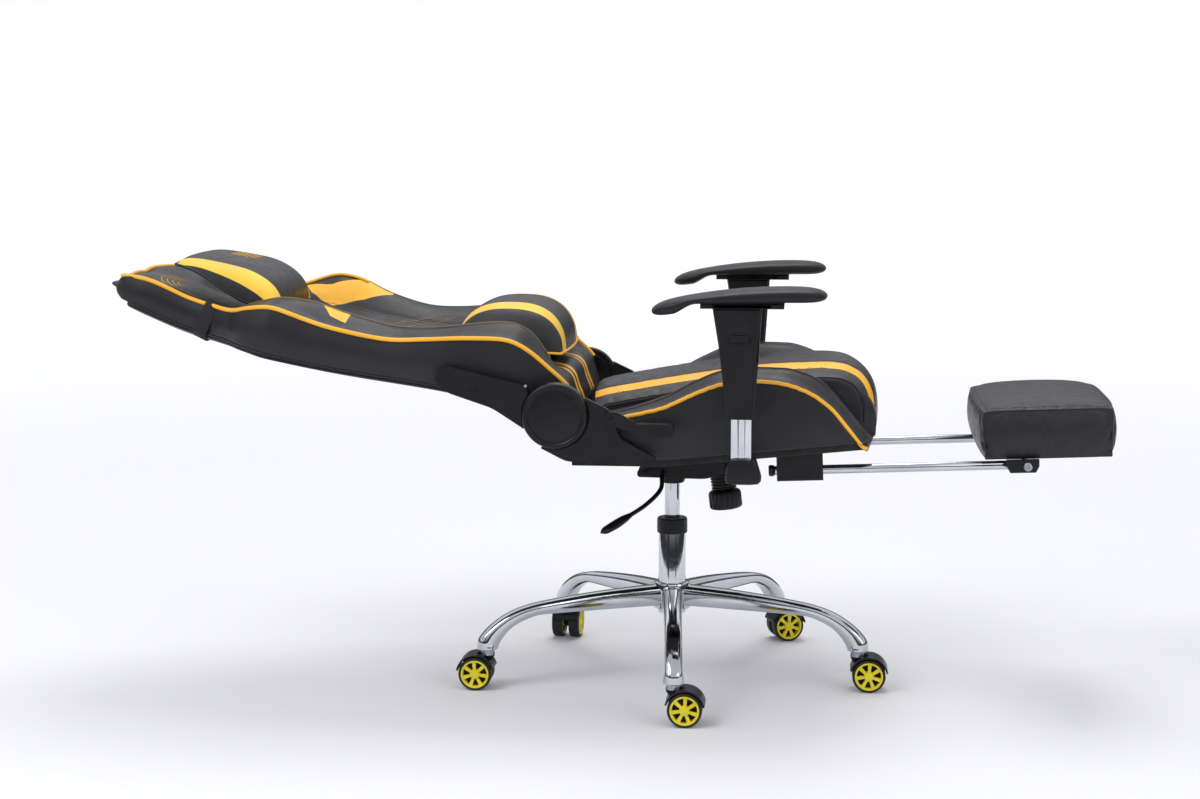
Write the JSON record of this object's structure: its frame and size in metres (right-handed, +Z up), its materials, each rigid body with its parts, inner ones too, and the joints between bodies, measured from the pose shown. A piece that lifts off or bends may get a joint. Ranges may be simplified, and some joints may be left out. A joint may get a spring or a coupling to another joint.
{
  "type": "gaming chair",
  "caption": "Reclining racing-style chair on a five-star caster base, with armrests, head and lumbar pillows and a slide-out footrest that flips.",
  "frame": {"origin": "on the floor under the middle of the chair's length, on its centre plane", "axes": "+X forward from the head end to the footrest, +Y to the sitter's left, +Z up"},
  "size_m": [1.7805, 0.7416, 0.7909],
  "materials": {
    "black_leather": "black grained PU leather with amber piping and stitching, soft sheen",
    "black_leather_panel": "black grained PU leather over a firm rear panel",
    "chrome": "polished chrome plate",
    "black_steel": "black powder coat on pressed steel",
    "black_plastic": "fine textured black nylon",
    "soft_plastic": "soft-touch black polyurethane",
    "wheel": "lemon yellow moulded hub with a black tread",
    "webbing": "woven black elastic",
    "plywood": "plywood faced with thin black cloth"
  },
  "bodies": {
    "base": {"star_base": "chrome", "gas_cylinder": "chrome"},
    "lift": {"gas_piston": "chrome"},
    "tilt_base": {"tilt_housing": "black_steel"},
    "knob": {"tension_knob": "black_plastic"},
    "lift_lever": {"gas_lever": "black_plastic"},
    "seat": {"seat_plate": "black_steel", "seat_pan": "plywood", "seat_cushion": "black_leather", "hinge_disc_left": "black_plastic", "seat_bracket_left": "black_steel", "seat_cover_left": "black_plastic", "arm_bracket_left": "chrome", "arm_boot_left": "black_plastic", "rod_guide_left": "black_plastic", "hinge_disc_right": "black_plastic", "seat_bracket_right": "black_steel", "seat_cover_right": "black_plastic", "arm_bracket_right": "chrome", "arm_boot_right": "black_plastic", "rod_guide_right": "black_plastic"},
    "back": {"back_shell": "black_leather_panel", "back_cushion": "black_leather", "head_pillow": "black_leather", "head_strap": "webbing", "lumbar_pillow": "black_leather", "back_belt": "webbing", "back_bracket_left": "black_steel", "back_cover_left": "black_plastic", "back_bracket_right": "black_steel", "back_cover_right": "black_plastic"},
    "recline_handle": {"recline_lever": "black_plastic"},
    "footrest_slide": {"footrest_axle": "chrome", "footrest_rod_left": "chrome", "footrest_rod_right": "chrome"},
    "footrest_flip": {"footrest_board": "plywood", "footrest_pad": "black_leather", "footrest_clamp_left": "black_plastic", "footrest_clamp_right": "black_plastic"},
    "caster_front": {"caster_front_fork": "black_plastic"},
    "wheel_front_a": {"caster_front_wheel_a": "wheel"},
    "wheel_front_b": {"caster_front_wheel_b": "wheel"},
    "caster_front_right": {"caster_front_right_fork": "black_plastic"},
    "wheel_front_right_a": {"caster_front_right_wheel_a": "wheel"},
    "wheel_front_right_b": {"caster_front_right_wheel_b": "wheel"},
    "caster_back_right": {"caster_back_right_fork": "black_plastic"},
    "wheel_back_right_a": {"caster_back_right_wheel_a": "wheel"},
    "wheel_back_right_b": {"caster_back_right_wheel_b": "wheel"},
    "caster_back_left": {"caster_back_left_fork": "black_plastic"},
    "wheel_back_left_a": {"caster_back_left_wheel_a": "wheel"},
    "wheel_back_left_b": {"caster_back_left_wheel_b": "wheel"},
    "caster_front_left": {"caster_front_left_fork": "black_plastic"},
    "wheel_front_left_a": {"caster_front_left_wheel_a": "wheel"},
    "wheel_front_left_b": {"caster_front_left_wheel_b": "wheel"},
    "arm_left": {"arm_sleeve_left": "black_plastic", "arm_pad_left": "soft_plastic"},
    "button_left": {"arm_button_left": "black_plastic"},
    "arm_right": {"arm_sleeve_right": "black_plastic", "arm_pad_right": "soft_plastic"},
    "button_right": {"arm_button_right": "black_plastic"}
  },
  "joints": [
    {"name": "caster_front_swivel", "type": "hinge", "parent": "base", "child": "caster_front", "pos_m": [0.13425, -0.35114, 0.07], "axis": [0, 0, 1], "continuous": true},
    {"name": "wheel_front_a_spin", "type": "hinge", "parent": "caster_front", "child": "wheel_front_a", "pos_m": [0.15425, -0.35114, 0.03], "axis": [0, 1, 0], "continuous": true},
    {"name": "wheel_front_b_spin", "type": "hinge", "parent": "caster_front", "child": "wheel_front_b", "pos_m": [0.15425, -0.35114, 0.03], "axis": [0, 1, 0], "continuous": true},
    {"name": "caster_front_right_swivel", "type": "hinge", "parent": "base", "child": "caster_front_right", "pos_m": [0.45124, -0.08516, 0.07], "axis": [0, 0, 1], "continuous": true},
    {"name": "wheel_front_right_a_spin", "type": "hinge", "parent": "caster_front_right", "child": "wheel_front_right_a", "pos_m": [0.47124, -0.08516, 0.03], "axis": [0, 1, 0], "continuous": true},
    {"name": "wheel_front_right_b_spin", "type": "hinge", "parent": "caster_front_right", "child": "wheel_front_right_b", "pos_m": [0.47124, -0.08516, 0.03], "axis": [0, 1, 0], "continuous": true},
    {"name": "caster_back_right_swivel", "type": "hinge", "parent": "base", "child": "caster_back_right", "pos_m": [0.29623, 0.29851, 0.07], "axis": [0, 0, 1], "continuous": true},
    {"name": "wheel_back_right_a_spin", "type": "hinge", "parent": "caster_back_right", "child": "wheel_back_right_a", "pos_m": [0.31502, 0.30535, 0.03], "axis": [-0.342, 0.9397, 0], "continuous": true},
    {"name": "wheel_back_right_b_spin", "type": "hinge", "parent": "caster_back_right", "child": "wheel_back_right_b", "pos_m": [0.31502, 0.30535, 0.03], "axis": [-0.342, 0.9397, 0], "continuous": true},
    {"name": "caster_back_left_swivel", "type": "hinge", "parent": "base", "child": "caster_back_left", "pos_m": [-0.11656, 0.26965, 0.07], "axis": [0, 0, 1], "continuous": true},
    {"name": "wheel_back_left_a_spin", "type": "hinge", "parent": "caster_back_left", "child": "wheel_back_left_a", "pos_m": [-0.11447, 0.28954, 0.03], "axis": [-0.9945, 0.1045, 0], "continuous": true},
    {"name": "wheel_back_left_b_spin", "type": "hinge", "parent": "caster_back_left", "child": "wheel_back_left_b", "pos_m": [-0.11447, 0.28954, 0.03], "axis": [-0.9945, 0.1045, 0], "continuous": true},
    {"name": "caster_front_left_swivel", "type": "hinge", "parent": "base", "child": "caster_front_left", "pos_m": [-0.21667, -0.13186, 0.07], "axis": [0, 0, 1], "continuous": true},
    {"name": "wheel_front_left_a_spin", "type": "hinge", "parent": "caster_front_left", "child": "wheel_front_left_a", "pos_m": [-0.23667, -0.13186, 0.03], "axis": [0, -1, 0], "continuous": true},
    {"name": "wheel_front_left_b_spin", "type": "hinge", "parent": "caster_front_left", "child": "wheel_front_left_b", "pos_m": [-0.23667, -0.13186, 0.03], "axis": [0, -1, 0], "continuous": true},
    {"name": "lift_height", "type": "slide", "parent": "base", "child": "lift", "axis": [0, 0, 1], "range_m": [-0.06, 0.04]},
    {"name": "seat_swivel", "type": "hinge", "parent": "lift", "child": "tilt_base", "pos_m": [0.1097, 0, 0.39], "axis": [0, 0, 1], "continuous": true},
    {"name": "tension_turn", "type": "hinge", "parent": "tilt_base", "child": "knob", "pos_m": [0.2017, 0, 0.378], "axis": [-0.1147, 0, 0.9934], "continuous": true},
    {"name": "lift_lever_pull", "type": "hinge", "parent": "tilt_base", "child": "lift_lever", "pos_m": [0.0947, -0.042, 0.386], "axis": [-1, 0, 0], "range_deg": [0, 7], "stiffness_Nm_per_rad": 3, "springref_deg": -5.73},
    {"name": "seat_tilt", "type": "hinge", "parent": "tilt_base", "child": "seat", "pos_m": [0.1847, 0, 0.408], "axis": [0, -1, 0], "range_deg": [0, 12], "stiffness_Nm_per_rad": 200, "springref_deg": -20.05},
    {"name": "back_recline", "type": "hinge", "parent": "seat", "child": "back", "pos_m": [-0.0753, 0, 0.521], "axis": [0, 1, 0], "range_deg": [0, 68]},
    {"name": "recline_pull", "type": "hinge", "parent": "seat", "child": "recline_handle", "pos_m": [0.0197, -0.288, 0.52], "axis": [0, -1, 0], "range_deg": [0, 25], "stiffness_Nm_per_rad": 1.5, "springref_deg": -8.59},
    {"name": "footrest_extend", "type": "slide", "parent": "seat", "child": "footrest_slide", "axis": [0.9992, 0, 0.0393], "range_m": [-0.16, 0]},
    {"name": "footrest_turn", "type": "hinge", "parent": "footrest_slide", "child": "footrest_flip", "pos_m": [0.73722, 0, 0.42866], "axis": [0, 1, 0], "range_deg": [0, 180]},
    {"name": "arm_left_height", "type": "slide", "parent": "seat", "child": "arm_left", "axis": [0, 0, 1], "range_m": [-0.06, 0.02]},
    {"name": "button_left_press", "type": "slide", "parent": "arm_left", "child": "button_left", "axis": [0, -1, 0], "range_m": [0, 0.003], "stiffness_N_per_m": 400, "springref_m": -0.001},
    {"name": "arm_right_height", "type": "slide", "parent": "seat", "child": "arm_right", "axis": [0, 0, 1], "range_m": [-0.06, 0.02]},
    {"name": "button_right_press", "type": "slide", "parent": "arm_right", "child": "button_right", "axis": [0, 1, 0], "range_m": [0, 0.003], "stiffness_N_per_m": 400, "springref_m": -0.001}
  ]
}
